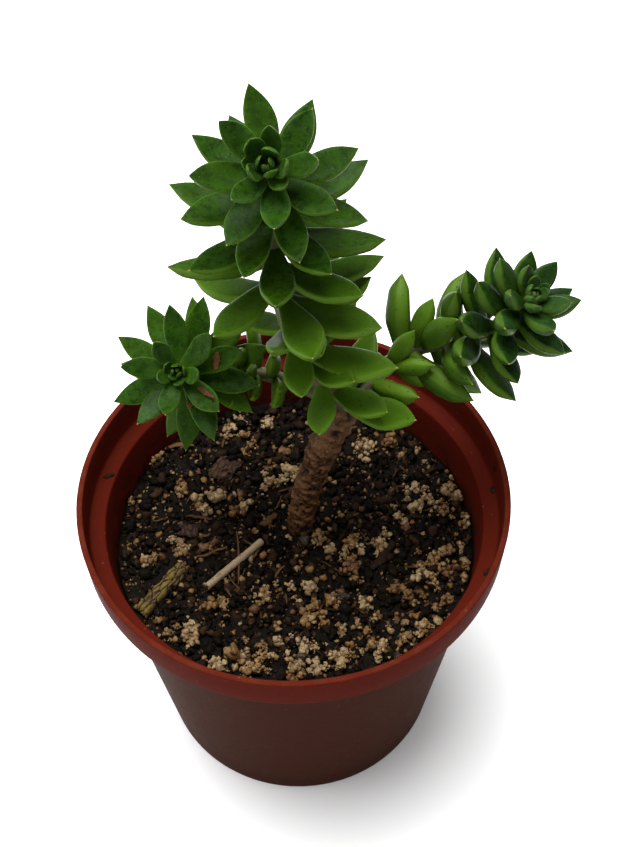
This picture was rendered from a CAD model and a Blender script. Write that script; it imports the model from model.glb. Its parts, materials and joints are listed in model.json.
"""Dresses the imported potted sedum: fine leaves, stems, bark, gritty soil, a moulded pot and their finishes.

Every piece is in metres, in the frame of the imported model, and stands for the node that it replaces.
"""
import json
import math
import random

import bmesh
import bpy
import numpy as np
from mathutils import Matrix, Vector, noise
from mathutils.bvhtree import BVHTree

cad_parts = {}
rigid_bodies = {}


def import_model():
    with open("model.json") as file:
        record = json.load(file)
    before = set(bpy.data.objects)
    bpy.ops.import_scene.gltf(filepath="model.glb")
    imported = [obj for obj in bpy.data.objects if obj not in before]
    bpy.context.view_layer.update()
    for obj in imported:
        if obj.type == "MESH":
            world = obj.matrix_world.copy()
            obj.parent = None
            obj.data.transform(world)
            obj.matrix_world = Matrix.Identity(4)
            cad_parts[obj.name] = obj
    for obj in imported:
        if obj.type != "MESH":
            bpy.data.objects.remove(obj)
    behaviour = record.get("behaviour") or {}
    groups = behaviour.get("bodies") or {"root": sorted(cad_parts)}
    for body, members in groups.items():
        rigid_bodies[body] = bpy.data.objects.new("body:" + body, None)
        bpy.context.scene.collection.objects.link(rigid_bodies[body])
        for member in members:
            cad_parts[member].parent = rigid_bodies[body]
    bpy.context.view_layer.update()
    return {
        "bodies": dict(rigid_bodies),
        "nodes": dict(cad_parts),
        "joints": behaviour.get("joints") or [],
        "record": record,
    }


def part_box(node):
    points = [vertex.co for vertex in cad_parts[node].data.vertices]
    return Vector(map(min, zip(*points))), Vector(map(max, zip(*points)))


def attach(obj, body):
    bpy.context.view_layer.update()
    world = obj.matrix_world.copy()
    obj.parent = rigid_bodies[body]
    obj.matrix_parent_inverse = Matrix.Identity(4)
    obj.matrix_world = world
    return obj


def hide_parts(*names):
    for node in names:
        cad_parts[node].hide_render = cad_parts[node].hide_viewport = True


bl_info = {
    "name": "Potted sedum",
    "version": (1, 0, 0),
    "blender": (4, 5, 0),
    "location": "3D View > Sidebar > Sedum",
    "description": "Builds a sedum with three leafy shoots in a round nursery pot",
    "category": "Add Mesh",
}

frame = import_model()

MM = 0.001
GOLDEN_ANGLE = 137.508
UP = Vector((0.0, 0.0, 1.0))

# The pot, read from its solid
POT_LOW, POT_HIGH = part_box("pot")
RIM_RADIUS = (POT_HIGH.x - POT_LOW.x) / 2
POT_HEIGHT = POT_HIGH.z
RIM_CENTRE = Vector((0.0, 0.0, POT_HEIGHT))
FOOT_RADIUS = 43.5 * MM
NECK_RADIUS = 54.4 * MM
LIP_THICKNESS = 1.7 * MM
WALL_THICKNESS = 1.1 * MM
FLOOR_THICKNESS = 1.6 * MM
COLLAR_HEIGHT = 11.0 * MM
COLLAR_TAPER = 0.5 * MM
DRAIN_HOLES = 6
DRAIN_RADIUS = 3.5 * MM
DRAIN_CIRCLE = 33.0 * MM
POT_SEGMENTS = 240
LONGEST_STEP = 4.0 * MM
RIM_WEAR = 0.5 * MM
STEP_WEAR = 0.4 * MM
SOIL_SMEAR = 5.0 * MM
LARGEST_LIFT = 0.1 * MM

# The soil
SOIL_LEVEL = POT_HEIGHT - 24.0 * MM
SOIL_LUMP = 1.5 * MM
SOIL_GRAIN = 0.8 * MM
SOIL_SHOULDER = 3.0 * MM
SOIL_GAP = 0.3 * MM
SOIL_SEGMENTS = 260
SOIL_RINGS = 84
LUMP_SINK = 0.30
PILE_HEIGHT = 1.4 * MM

# The trunk
TRUNK_FOOT = Vector((1.4, 3.8, 0.0)) * MM
TRUNK_TOP = Vector((14.1, 5.4, 30.0)) * MM
TRUNK_RISE = Vector((0.0, 0.0, 18.0)) * MM
TRUNK_LEAN = Vector((-5.5, -0.5, -14.0)) * MM
TRUNK_RADIUS = 3.7 * MM
TRUNK_TOP_RADIUS = 4.3 * MM
TRUNK_ROOT = 21.0 * MM
SCAR_REACH = 2.6 * MM
SCAR_HALF_HEIGHT = 0.85 * MM
SCAR_HALF_TURN = 0.62

# Leaf form, as on the solids
LEAF_BASE_WIDTH = 0.30
LEAF_START = 0.13
LEAF_WIDEST = 1.5
LEAF_FOOT_SHARE = 0.7
LEAF_CAMBER = 0.05
LEAF_MIN_THICKNESS = 0.9 * MM
LEAF_SWAY = 3.0
LEAF_NOD = 3.0
LEAF_GROWTH_SPREAD = 0.05
TIP_INSET = 0.5
BUD_LEAVES = 8
BUD_LONGEST = 5.4
BUD_SHORTEST = 2.2
BUD_TILT = 38.0
STEM_TAPER = 0.55
OLD_LEAF_YOUTH = 0.25 / (40.0 * MM)
TIP_AGEING = 0.72

# The photograph's camera: focal length in pixels, then distance and angles that set its view of the rim
PHOTO_WIDTH = 637
PHOTO_HEIGHT = 847
FOCAL_PIXELS = 1350.0
CAMERA_DISTANCE = 0.374
CAMERA_ELEVATION = math.radians(54.66)
CAMERA_PITCH = math.radians(2.787)
CAMERA_YAW = math.radians(-1.142)
CAMERA_ROLL = math.radians(2.076)
SENSOR_WIDTH = 36.0

# Each shoot: the course of its stem in millimetres from the centre of the rim, its leaf rule, and its old
# leaves: distance from the root in millimetres, turn and tilt in degrees, and length in millimetres
SHOOTS = {
    "main_shoot": dict(
        course=((14.1, 5.4, 30.0), (-11.8, 5.4, 73.0), (0.7, 26.1, 87.1), (-3.1, 4.7, 112.6)),
        stem_radius=2.9, leaf_count=39, turn=1, phase=82.3, pitch=0.175, growth=1.561, divergence=-0.56,
        young_tilt=32.8, old_tilt=92.7, tilt_rate=11.8, leaf_length=24.8, length_rate=8.9,
        length_fade=-0.143, sag=0.03, light=0.2, width=0.33, old_width=0.38, thickness=0.13, fill=0.30,
        keel=1.0, bud_size=1.65, seed=4,
        old_leaves=((12.0, 90.0, 85.0, 20.0), (28.0, 94.0, 99.0, 20.0), (22.0, 132.0, 91.0, 20.0),
                    (32.0, 87.0, 70.0, 20.0), (37.0, 116.0, 90.0, 24.0), (40.0, 152.0, 97.0, 28.0),
                    (24.0, 153.0, 99.0, 27.0), (8.0, 138.0, 92.0, 21.0), (2.0, 146.0, 95.0, 24.0),
                    (30.0, 321.0, 88.0, 20.0), (4.0, 235.0, 88.0, 22.0), (12.0, 290.0, 82.0, 18.0),
                    (18.0, 262.0, 78.0, 22.0), (22.0, 222.0, 76.0, 22.0), (33.0, 192.0, 78.0, 23.0))),
    "left_shoot": dict(
        course=((12.0, 6.0, 28.0), (-2.7, 22.7, 29.1), (-25.9, 30.9, 16.1), (-28.8, 8.7, 41.8)),
        stem_radius=1.9, leaf_count=24, turn=1, phase=201.1, pitch=0.081, growth=1.668, divergence=1.07,
        young_tilt=26.5, old_tilt=112.0, tilt_rate=9.0, leaf_length=20.8, length_rate=4.6,
        length_fade=-0.01, sag=-0.14, light=0.3, width=0.33, old_width=0.38, thickness=0.13, fill=0.30,
        keel=1.0, bud_size=1.05, seed=2,
        old_leaves=((18.0, 121.0, 112.0, 15.0), (21.0, 102.0, 118.0, 17.0), (23.0, 153.0, 111.0, 16.0),
                    (27.0, 215.0, 72.0, 20.0), (28.0, 102.0, 108.0, 16.0), (29.0, 128.0, 102.0, 16.0),
                    (31.0, 149.0, 92.0, 17.0), (32.0, 86.0, 89.0, 15.0), (16.0, 290.0, 84.0, 14.0),
                    (24.0, 265.0, 84.0, 15.0), (34.0, 320.0, 84.0, 15.0))),
    "right_shoot": dict(
        course=((16.0, 6.4, 28.2), (35.1, 28.4, 43.0), (46.8, 18.6, 25.9), (59.7, 9.7, 63.5)),
        stem_radius=2.3, leaf_count=37, turn=-1, phase=168.8, pitch=0.108, growth=1.701, divergence=1.525,
        young_tilt=17.5, old_tilt=65.2, tilt_rate=6.2, leaf_length=18.6, length_rate=6.8,
        length_fade=-0.16, sag=0.035, light=0.2, width=0.35, old_width=0.35, thickness=0.19, fill=0.68,
        keel=0.85, bud_size=1.2, seed=3,
        old_leaves=((8.0, 96.0, 78.0, 17.0), (14.0, 40.0, 50.0, 15.0), (14.0, 90.0, 58.0, 15.0),
                    (12.0, 250.0, 70.0, 15.0), (23.0, 11.0, 63.0, 17.0))),
}

# Clumps of pale grains: place on the soil in millimetres, spread, then tone from 0, cream, to 1, dark ochre
CLUMPS = (
    (-18, 41, 4, 0.2), (-7, 41, 3.5, 0.2), (-13, 34, 5, 0.5), (-8, 27, 3, 0.9), (-3, 22, 4, 0.1),
    (-8, 18, 5, 0.3), (-22, 15, 3.5, 0.4), (-33, 19, 3, 0.5), (-27, 12, 2.5, 0.4), (-13, 12, 3, 0.05),
    (-17, 9, 1.6, 1.0), (-36, -1, 5, 0.15), (-42, -7, 3, 0.5), (-50, 15, 2.5, 0.8), (-44, 29, 5, 0.5),
    (22, 31, 4, 0.1), (30, 33, 2.2, 0.5), (35, 17, 6, 0.2), (39, 12, 4.5, 0.2), (49, 17, 3.5, 0.6),
    (49, 12, 4, 0.4), (50, 4, 3, 0.4), (31, 6, 4, 0.3), (45, 8, 3.2, 0.7), (6, -3, 5, 0.3),
    (16, -5, 5.5, 0.35), (25, -3, 4, 0.5), (16, -12, 4, 0.9), (37, -9, 5.5, 0.7), (39, -14, 5, 0.25),
    (46, -13, 4.5, 0.7), (45, -6, 4, 0.5), (-8, -19, 5.5, 0.5), (1, -18, 4, 0.1), (4, -27, 5, 0.5),
    (9, -22, 3, 0.5), (20, -23, 2.5, 0.4), (13, -20, 2, 1.0), (17, -31, 7, 0.4), (31, -22, 5, 0.8),
    (-34, -31, 3.5, 0.5), (-30, -29, 2.5, 0.5), (-29, -34, 4, 0.5), (-23, -21, 4, 0.6),
    (-15, -36, 6, 0.5), (-12, -40, 4.5, 0.5), (-6, -34, 5, 0.2), (0, -39, 6, 0.1), (7, -39, 6, 0.2),
    (14, -39, 4, 0.5), (21, -40, 5, 0.3), (29, -33, 5, 0.5), (-23, -40, 4, 0.5), (-2, -45, 4, 0.7),
    (35, -31, 3, 0.5), (40, -23, 3, 0.5),
)

# Slivers on the soil: two ends in millimetres, width and tone from 0, pale straw, to 1, dark bark
SLIVERS = (
    ((-28.7, -5.7), (-19.6, -2.7), 0.9, 0.35), ((-17.1, 2.4), (-16.7, -15.7), 0.6, 0.45),
    ((-6.3, -14.0), (-3.3, -9.7), 0.8, 0.35), ((-10.8, 3.2), (-5.3, 8.3), 2.2, 0.6),
    ((-38.9, 32.5), (-29.8, 34.6), 1.6, 0.1), ((21.3, -13.0), (28.7, -3.1), 3.2, 1.0),
    ((-20.5, -10.0), (-14.0, -19.0), 0.5, 0.5), ((7.0, -8.5), (13.0, -14.5), 0.6, 0.7),
    ((30.0, -27.0), (37.0, -24.0), 0.8, 0.6), ((-32.0, 8.5), (-24.0, 7.0), 1.2, 0.75),
)

# Flakes of bark: four corners in millimetres, then the rows and columns of points on each side
CHIPS = {
    "bark_chip": (((-45.6, -22.4), (-42.2, -25.8), (-30.2, -9.9), (-33.9, -7.9)), 110, 38),
    "bark_flake": (((-25.5, 22.5), (-19.5, 19.5), (-14.8, 27.0), (-22.0, 29.8)), 60, 46),
    "brown_chip": (((-34.7, 1.6), (-28.6, 1.0), (-27.8, 5.2), (-34.0, 5.8)), 50, 40),
}
TEAR_SEED = 7
TWIG_ENDS = (-25.4, -16.3), (-9.7, -1.6)
TWIG_RADIUS = 1.05 * MM
TWIG_BORE_RADIUS = 0.5 * MM
TWIG_BORE_DEPTH = 4.0 * MM

# Brown scraps on leaves and wall: pixel in the photograph, length and width in millimetres, turn in the
# picture in degrees, tone from 0, tan, to 1, nearly black, and the piece below
SCRAPS = (
    ((217, 361), 5.0, 2.3, 80.0, 0.10, "left_leaves"), ((190, 405), 2.2, 1.8, 20.0, 0.25, "left_leaves"),
    ((206, 394), 6.5, 1.5, -37.0, 0.30, "left_leaves"), ((209, 398), 4.5, 0.6, -40.0, 1.0, "left_leaves"),
    ((109, 476), 3.6, 1.2, 30.0, 1.0, "pot_shell"), ((493, 490), 2.6, 1.6, 75.0, 1.0, "pot_shell"),
    ((487, 572), 3.0, 1.2, 60.0, 1.0, "pot_shell"), ((495, 468), 1.6, 0.9, 40.0, 1.0, "pot_shell"),
)
STRIP_SIDES = 8
LITTER_LIFT = 0.9 * MM

# The studio: where each soft light stands, in metres, its width and its share of the key light's power
LIGHTS = {
    "key": (Vector((-0.167, 0.174, 1.198)), 0.97, 1.0),
    "side": (Vector((-0.95, -0.30, 0.50)), 0.9, 0.12),
}
LIGHT_AIM = Vector((0.0, 0.0, 0.08))
FLOOR_HALF_WIDTH = 3.0


def paint(name, description, default):
    """A colour that a user may change."""
    return bpy.props.FloatVectorProperty(
        name=name, description=description, default=default, subtype="COLOR", size=3, min=0.0, max=1.0)


class PotLook(bpy.types.PropertyGroup):
    """Sizes and colours of the pot."""
    colour: paint("Plastic", "Colour of the moulded plastic", (0.060, 0.0066, 0.0032))
    worn: paint("Worn edge", "Colour where handling has dulled the rim", (0.075, 0.0135, 0.0065))
    wall: paint("Wall", "Colour of the duller outside below the collar", (0.031, 0.0090, 0.0046))
    roughness: bpy.props.FloatProperty(
        name="Roughness", description="Roughness of the plastic", subtype="FACTOR", min=0.0, max=1.0,
        default=0.42)
    waviness: bpy.props.FloatProperty(
        name="Waviness", description="How far the moulded rim wanders", unit="LENGTH", min=0.0,
        default=0.25 * MM)


class LeafLook(bpy.types.PropertyGroup):
    """Form and colours of the leaves."""
    green: paint("Leaf", "Upper side of a grown leaf", (0.0125, 0.0410, 0.0010))
    blue_green: paint("Right shoot's leaf", "Grown leaf on the right shoot", (0.0088, 0.0300, 0.0030))
    margin: paint("Margin", "Lighter edge of a leaf", (0.080, 0.150, 0.012))
    old: paint("Old leaf", "Lower leaves that get little light", (0.056, 0.122, 0.005))
    bloom: paint("Bloom", "Pale wax on young leaves", (0.040, 0.085, 0.024))
    point: paint("Point", "The dry point at a leaf's end", (0.26, 0.20, 0.06))
    stem: paint("Stem", "The pale green stem between the leaves", (0.105, 0.115, 0.020))
    roughness: bpy.props.FloatProperty(
        name="Roughness", description="Roughness of the leaf's wax", subtype="FACTOR", min=0.0, max=1.0,
        default=0.36)
    rows: bpy.props.IntProperty(
        name="Rows", description="Rows of points along a leaf", min=8, max=40, default=22)
    around: bpy.props.IntProperty(
        name="Points round", description="Points round a leaf", min=8, max=32, default=20)


class BarkLook(bpy.types.PropertyGroup):
    """Form and colours of the trunk."""
    colour: paint("Bark", "Colour of the trunk's bark", (0.066, 0.030, 0.0115))
    crack: paint("Cracks", "Colour in the bark's hollows", (0.0060, 0.0030, 0.0014))
    scar_height: bpy.props.FloatProperty(
        name="Scar height", description="How far an old leaf scar stands out", unit="LENGTH", min=0.0,
        default=0.80 * MM)
    scars: bpy.props.IntProperty(
        name="Scars", description="How many leaf scars climb the trunk", min=0, max=200, default=64)


class SoilLook(bpy.types.PropertyGroup):
    """Grain sizes and colours of the soil."""
    peat: paint("Peat", "Colour of the dark peat", (0.0026, 0.0016, 0.0007))
    cream: paint("Cream grain", "The palest grains", (0.27, 0.185, 0.092))
    ochre: paint("Ochre grain", "The darkest pale grains", (0.135, 0.066, 0.016))
    rust: paint("Rusty grain", "Grains of red-brown bark and rust", (0.072, 0.026, 0.008))
    grain: bpy.props.FloatProperty(
        name="Grain", description="Middle radius of a pale grain", unit="LENGTH", min=0.1 * MM,
        default=0.62 * MM)
    largest: bpy.props.FloatProperty(
        name="Largest grain", description="No grain or crumb is larger than this radius", unit="LENGTH",
        min=0.2 * MM, default=2.0 * MM)
    crowding: bpy.props.FloatProperty(
        name="Crowding", description="How many lumps lie in a clump for each millimetre of its spread",
        min=0.1, max=3.0, default=1.25)
    knobs: bpy.props.IntProperty(
        name="Knobs", description="How many small grains stick to a lump", min=0, max=12, default=7)
    crumbs: bpy.props.IntProperty(
        name="Crumbs", description="How many dark crumbs lie on the soil", min=0, max=2400, default=2300)
    stray_grains: bpy.props.IntProperty(
        name="Stray grains", description="How many pale grains lie outside the clumps", min=0, max=2400,
        default=2080)
    seed: bpy.props.IntProperty(name="Seed", description="Seed of the soil's scatter", min=0, default=11)


class StageLook(bpy.types.PropertyGroup):
    """The plain floor and the studio light."""
    floor: paint("Floor", "Colour of the pale floor", (0.96, 0.96, 0.96))
    key: bpy.props.FloatProperty(
        name="Key light", description="Power of the soft light from above", unit="POWER", min=0.0,
        default=29.0)
    sky: bpy.props.FloatProperty(
        name="Surround", description="Strength of the even white surround", min=0.0, default=0.58)


def add_object(name, data):
    thing = bpy.data.objects.new(name, data)
    bpy.context.scene.collection.objects.link(thing)
    return thing


def mesh_piece(name, points, faces, values, material=None, sharp=None):
    """A closed, smooth-shaded piece from its points and faces, with the values that its finish reads."""
    mesh = bpy.data.meshes.new(name)
    mesh.from_pydata(np.asarray(points, float).tolist(), [], faces)
    bm = bmesh.new()
    bm.from_mesh(mesh)
    bmesh.ops.recalc_face_normals(bm, faces=bm.faces)
    bm.to_mesh(mesh)
    bm.free()
    mesh.shade_smooth()
    if sharp:
        mesh.set_sharp_from_angle(angle=math.radians(sharp))
    for key, data in values.items():
        mesh.attributes.new(key, "FLOAT", "POINT").data.foreach_set("value", np.asarray(data, np.float32))
    if material:
        mesh.materials.append(material)
    return add_object(name, mesh)


def place(piece, slot, *nodes):
    """Fix a piece to the part's one body and let it stand for the solids it covers."""
    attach(piece, "root")
    if nodes:
        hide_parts(*nodes)
    return piece


class Skin:
    """Gathers closed forms into one piece, with their painted values."""

    def __init__(self):
        self.points = []
        self.faces = []
        self.values = {}
        self.count = 0

    def add(self, points, faces, **values):
        points = np.asarray(points, float)
        self.points.append(points)
        self.faces += [tuple(k + self.count for k in face) for face in faces]
        for key, data in values.items():
            self.values.setdefault(key, []).append(np.broadcast_to(np.asarray(data, float), (len(points),)))
        self.count += len(points)

    def piece(self, name, material):
        values = {key: np.concatenate(rows) for key, rows in self.values.items()}
        return mesh_piece(name, np.concatenate(self.points), self.faces, values, material)


def sheath_faces(rows, around):
    """Faces of a skin of rows of points, closed by one point at each end: first point, rows, last point."""
    faces = []
    last = 1 + rows * around
    for k in range(around):
        after = (k + 1) % around
        faces.append((0, 1 + after, 1 + k))
        for row in range(rows - 1):
            low = 1 + row * around
            faces.append((low + k, low + after, low + around + after, low + around + k))
        top = 1 + (rows - 1) * around
        faces.append((top + k, top + after, last))
    return faces


def bezier(control, t):
    """A point on a cubic curve and the curve's direction there."""
    a, b, c, d = control
    point = a * (1 - t) ** 3 + b * 3 * (1 - t) ** 2 * t + c * 3 * (1 - t) * t ** 2 + d * t ** 3
    slope = (b - a) * (1 - t) ** 2 + (c - b) * 2 * (1 - t) * t + (d - c) * t ** 2
    return point, slope.normalized()


class Stem:
    """A stem's course, cut into short steps, with a frame that travels along it without twisting."""

    STEPS = 240

    def __init__(self, control):
        self.points = []
        self.frames = []
        self.run = [0.0]
        side = None
        for step in range(self.STEPS + 1):
            point, along = bezier(control, step / self.STEPS)
            if side is None:
                side = along.cross(Vector((0.0, 1.0, 0.0)))
            side = (side - along * side.dot(along)).normalized()
            if self.points:
                self.run.append(self.run[-1] + (point - self.points[-1]).length)
            self.points.append(point)
            self.frames.append((along, side, along.cross(side)))
        self.length = self.run[-1]

    def at(self, distance):
        """The point and the frame at a distance from the stem's root."""
        distance = min(max(distance, 0.0), self.length)
        index = min(max(int(np.searchsorted(self.run, distance)) - 1, 0), self.STEPS - 1)
        share = (distance - self.run[index]) / (self.run[index + 1] - self.run[index])
        point = self.points[index].lerp(self.points[index + 1], share)
        frame = [a.lerp(b, share).normalized() for a, b in zip(self.frames[index], self.frames[index + 1])]
        return point, frame


def wander(x, y, z, size):
    """Smooth seeded unevenness at a place, for bumps of about the given size."""
    return noise.noise(Vector((x, y, z)) / size)


def limited(value):
    """The value, held between 0 and 1."""
    return min(max(value, 0.0), 1.0)


def ways_round(count, side, across):
    """The angle and the direction of each of some even steps round an axis."""
    for k in range(count):
        angle = 2 * math.pi * k / count
        yield angle, side * math.cos(angle) + across * math.sin(angle)


# Shader helpers
def add_node(tree, kind, inputs=None, **settings):
    """Add a node, set it, and give its inputs values or other nodes' outputs."""
    node = tree.nodes.new(kind)
    for key, value in settings.items():
        setattr(node, key, value)
    for key, value in (inputs or {}).items():
        if isinstance(value, bpy.types.NodeSocket):
            tree.links.new(value, node.inputs[key])
        else:
            node.inputs[key].default_value = value
    return node


def calculate(tree, operation, a, b=0.0, clamp=False):
    return add_node(tree, "ShaderNodeMath", {0: a, 1: b}, operation=operation, use_clamp=clamp).outputs[0]


def times(tree, a, b, clamp=False):
    return calculate(tree, "MULTIPLY", a, b, clamp)


def plus(tree, a, b, clamp=False):
    return calculate(tree, "ADD", a, b, clamp)


def blend(tree, share, a, b):
    """Mix two colours: the second one's share runs from 0 to 1."""
    a, b = [c if isinstance(c, bpy.types.NodeSocket) else (*c, 1.0) for c in (a, b)]
    return add_node(tree, "ShaderNodeMix", {0: share, 6: a, 7: b}, data_type="RGBA").outputs[2]


def cover(tree, base, colour, where, strength):
    """Lay a colour over the base where a mask says, at no more than the given strength."""
    return blend(tree, times(tree, where, strength), base, colour)


def tint(colour, strength):
    """The same colour, darker or lighter."""
    return tuple(part * strength for part in colour)


def stretch(tree, value, low, high):
    """Stretch the part of a value between low and high over 0 to 1."""
    return add_node(tree, "ShaderNodeMapRange", {0: value, 1: low, 2: high},
                    interpolation_type="SMOOTHSTEP").outputs[0]


def attribute(tree, name):
    return add_node(tree, "ShaderNodeAttribute", attribute_name=name).outputs["Fac"]


def object_noise(tree, scale, detail=4.0, roughness=0.55, point=None):
    """Noise in the object's own space, with scale in bumps to the metre."""
    if point is None:
        point = add_node(tree, "ShaderNodeTexCoord").outputs["Object"]
    inputs = {"Vector": point, "Scale": scale, "Detail": detail, "Roughness": roughness}
    return add_node(tree, "ShaderNodeTexNoise", inputs).outputs[0]


def new_group(name, inputs, outputs):
    """An empty node group with named value inputs and outputs."""
    group = bpy.data.node_groups.new(name, "ShaderNodeTree")
    for label, kind, value in inputs:
        socket = group.interface.new_socket(label, in_out="INPUT", socket_type=kind)
        socket.default_value = value
    for label, kind in outputs:
        group.interface.new_socket(label, in_out="OUTPUT", socket_type=kind)
    entry = group.nodes.new("NodeGroupInput")
    leave = group.nodes.new("NodeGroupOutput")
    return group, entry.outputs, leave.inputs


def speck_group():
    """Fine specks: a mask of small dots of dust or wax, thinned out by a broad pattern."""
    name = "Fine specks"
    if name in bpy.data.node_groups:
        return bpy.data.node_groups[name]
    group, given, out = new_group(
        name,
        (("Scale", "NodeSocketFloat", 2500.0), ("Amount", "NodeSocketFloat", 0.3)),
        (("Mask", "NodeSocketFloat"),))
    point = add_node(group, "ShaderNodeTexCoord").outputs["Object"]
    dots = add_node(group, "ShaderNodeTexVoronoi", {"Vector": point, "Scale": given["Scale"]}, feature="F1")
    colour = add_node(group, "ShaderNodeSeparateColor", {0: dots.outputs["Color"]})
    chosen = calculate(group, "LESS_THAN", colour.outputs[0], given["Amount"])
    size = times(group, colour.outputs[1], 0.34)
    dot = calculate(group, "SUBTRACT", size, dots.outputs["Distance"])
    dot = times(group, dot, 9.0, clamp=True)
    group.links.new(times(group, dot, chosen), out["Mask"])
    return group


def mottle_group():
    """Mottle: soft uneven tone at two sizes."""
    name = "Mottle"
    if name in bpy.data.node_groups:
        return bpy.data.node_groups[name]
    group, given, out = new_group(
        name,
        (("Scale", "NodeSocketFloat", 120.0), ("Contrast", "NodeSocketFloat", 1.0)),
        (("Tone", "NodeSocketFloat"),))
    broad = object_noise(group, given["Scale"], detail=3.0)
    fine = object_noise(group, times(group, given["Scale"], 6.0), detail=4.0)
    both = plus(group, times(group, broad, 0.65), times(group, fine, 0.35))
    spread = times(group, calculate(group, "SUBTRACT", both, 0.5), given["Contrast"])
    group.links.new(plus(group, spread, 0.5, clamp=True), out["Tone"])
    return group


def grain_group():
    """Surface grain: the height of a fine rough skin."""
    name = "Surface grain"
    if name in bpy.data.node_groups:
        return bpy.data.node_groups[name]
    group, given, out = new_group(
        name,
        (("Scale", "NodeSocketFloat", 1500.0), ("Coarseness", "NodeSocketFloat", 0.5)),
        (("Height", "NodeSocketFloat"),))
    fine = object_noise(group, given["Scale"], detail=5.0, roughness=0.6)
    coarse = object_noise(group, times(group, given["Scale"], 0.22), detail=3.0)
    inputs = {0: given["Coarseness"], 2: fine, 3: coarse}
    mixed = add_node(group, "ShaderNodeMix", inputs, data_type="FLOAT")
    group.links.new(mixed.outputs[0], out["Height"])
    return group


def use_group(tree, group, **inputs):
    """Place a node group with its own values, and give its first output."""
    node = add_node(tree, "ShaderNodeGroup")
    node.node_tree = group
    for key, value in inputs.items():
        node.inputs[key].default_value = value
    return node.outputs[0]


def specks(tree, scale, amount):
    return use_group(tree, speck_group(), Scale=scale, Amount=amount)


def mottle(tree, scale, contrast):
    return use_group(tree, mottle_group(), Scale=scale, Contrast=contrast)


def skin_grain(tree, scale, coarseness):
    return use_group(tree, grain_group(), Scale=scale, Coarseness=coarseness)


def varied(tree, scale, contrast, spread, least):
    """A roughness that wanders up from its least value by up to the spread."""
    return plus(tree, times(tree, mottle(tree, scale, contrast), spread), least, clamp=True)


def finish(name, colour, roughness, height=None, depth=0.0, **constants):
    """Complete a material: its colour and roughness sockets, a bump, and plain shader values."""
    material = bpy.data.materials[name]
    tree = material.node_tree
    shader = tree.nodes["Principled BSDF"]
    for socket, value in (("Base Color", colour), ("Roughness", roughness)):
        if isinstance(value, bpy.types.NodeSocket):
            tree.links.new(value, shader.inputs[socket])
        else:
            shader.inputs[socket].default_value = value
    if height is not None:
        bump = add_node(tree, "ShaderNodeBump", {"Height": height, "Distance": depth, "Strength": 1.0})
        tree.links.new(bump.outputs[0], shader.inputs["Normal"])
    for key, value in constants.items():
        shader.inputs[key.replace("_", " ")].default_value = value
    return material


def start_material(name):
    material = bpy.data.materials.new(name)
    material.use_nodes = True
    return material.node_tree


def pot_material(look):
    """Moulded plastic with a satin skin, dulled at the rim, with fine scuffs and dust."""
    tree = start_material("Pot plastic")
    patch = stretch(tree, mottle(tree, 220.0, 2.2), 0.35, 0.75)
    worn = times(tree, attribute(tree, "pot_edge"), plus(tree, times(tree, patch, 0.6), 0.4))
    colour = blend(tree, mottle(tree, 45.0, 1.2), tint(look.colour, 0.86), tint(look.colour, 1.12))
    colour = blend(tree, attribute(tree, "pot_wall"), colour, look.wall)
    colour = blend(tree, worn, colour, look.worn)
    colour = cover(tree, colour, (0.18, 0.12, 0.09), specks(tree, 900.0, 0.10), 0.20)
    smear = stretch(tree, mottle(tree, 160.0, 2.5), 0.3, 0.7)
    colour = blend(tree, times(tree, attribute(tree, "pot_soiled"), smear), colour, (0.012, 0.006, 0.0035))
    rough = plus(tree, varied(tree, 500.0, 1.5, 0.16, look.roughness - 0.06), times(tree, worn, 0.15))
    return finish("Pot plastic", colour, rough, skin_grain(tree, 1300.0, 0.5), 0.05 * MM,
                  Specular_IOR_Level=0.004)


def leaf_material(name, green, look, bluish):
    """Waxy leaf: dark above, lighter at its margin, paler when old, bluish when young, with a dry point."""
    tree = start_material(name)
    age = attribute(tree, "leaf_age")
    rim = attribute(tree, "leaf_rim")
    along = attribute(tree, "leaf_along")
    under = attribute(tree, "leaf_under")
    leaf = blend(tree, mottle(tree, 230.0, 2.5), tint(green, 0.50), tint(green, 1.55))
    blotch = stretch(tree, mottle(tree, 620.0, 2.8), 0.48, 0.78)
    leaf = cover(tree, leaf, tint(green, 0.30), blotch, 0.80)
    faded = plus(tree, stretch(tree, age, 0.38, 0.95), times(tree, attribute(tree, "leaf_tone"), 0.30))
    leaf = cover(tree, leaf, look.old, plus(tree, faded, -0.14, clamp=True), 0.85)
    leaf = cover(tree, leaf, tint(look.margin, 1.15), stretch(tree, along, 0.30, 0.0), 0.55)
    leaf = cover(tree, leaf, tint(look.margin, 0.80), under, 0.18)
    young = times(tree, stretch(tree, age, 0.40, 0.0), plus(tree, times(tree, under, 0.6), 0.4))
    wax = times(tree, young, stretch(tree, mottle(tree, 260.0, 2.0), 0.2, 0.8))
    leaf = cover(tree, leaf, look.bloom, wax, bluish)
    leaf = cover(tree, leaf, tint(green, 0.55), stretch(tree, rim, 0.50, 0.0), 0.22)
    edge = times(tree, stretch(tree, rim, 0.60, 1.0), plus(tree, times(tree, age, 0.50), 0.30))
    leaf = blend(tree, edge, leaf, look.margin)
    leaf = cover(tree, leaf, (0.12, 0.19, 0.09), specks(tree, 1900.0, 0.30), 0.26)
    leaf = cover(tree, leaf, (0.0030, 0.0095, 0.0008), specks(tree, 1100.0, 0.30), 0.75)
    point = times(tree, stretch(tree, along, 0.972, 1.0), stretch(tree, age, 0.0, 0.2))
    leaf = blend(tree, point, leaf, look.point)
    rough = varied(tree, 600.0, 1.6, 0.22, look.roughness - 0.10)
    return finish(name, leaf, rough, skin_grain(tree, 1300.0, 0.60), 0.20 * MM, Specular_IOR_Level=0.05,
                  Subsurface_Weight=0.06, Subsurface_Scale=0.004, Subsurface_Radius=(0.4, 1.0, 0.15))


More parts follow.
